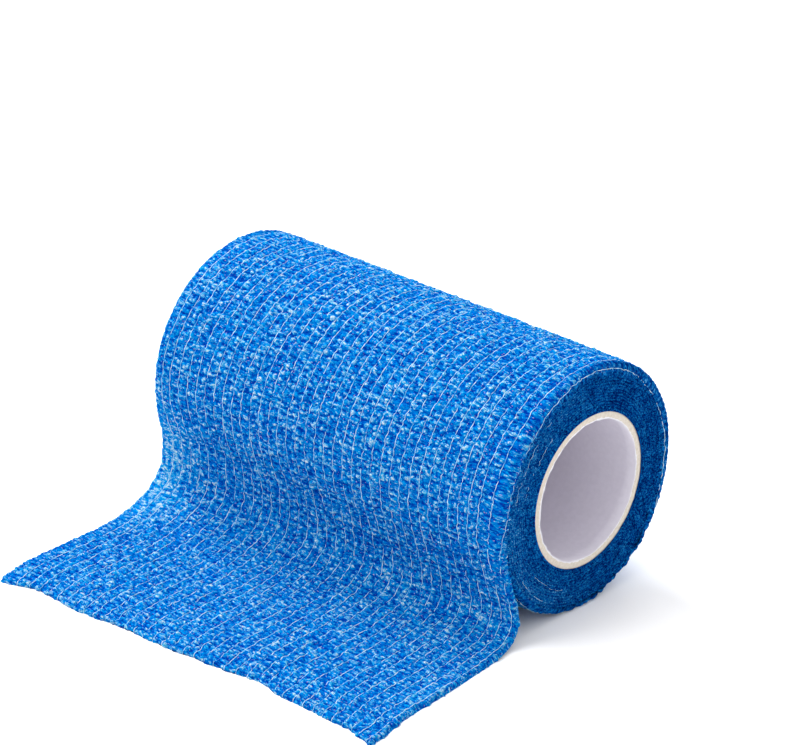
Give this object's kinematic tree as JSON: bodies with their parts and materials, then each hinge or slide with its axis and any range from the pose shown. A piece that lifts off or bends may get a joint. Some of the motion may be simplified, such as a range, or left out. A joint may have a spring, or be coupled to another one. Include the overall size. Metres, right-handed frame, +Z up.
{
  "type": "cohesive bandage roll",
  "caption": "Roll of crinkled blue cohesive bandage on a cardboard core, lying on its side with its loose end drawn out flat.",
  "frame": {"origin": "on the surface that the roll rests on, at the middle of the flat spot under the roll", "axes": "+X along the roll's axis towards the end that the picture shows, +Y away from the loose end, +Z up"},
  "size_m": [0.1074, 0.1064, 0.0551],
  "materials": {
    "bandage_cloth": "matt crinkled non-woven with pale elastic threads",
    "core_board": "matt, cream at the cut ends and greyish white inside"
  },
  "bodies": {
    "root": {"bandage": "bandage_cloth", "core": "core_board"}
  },
  "joints": []
}
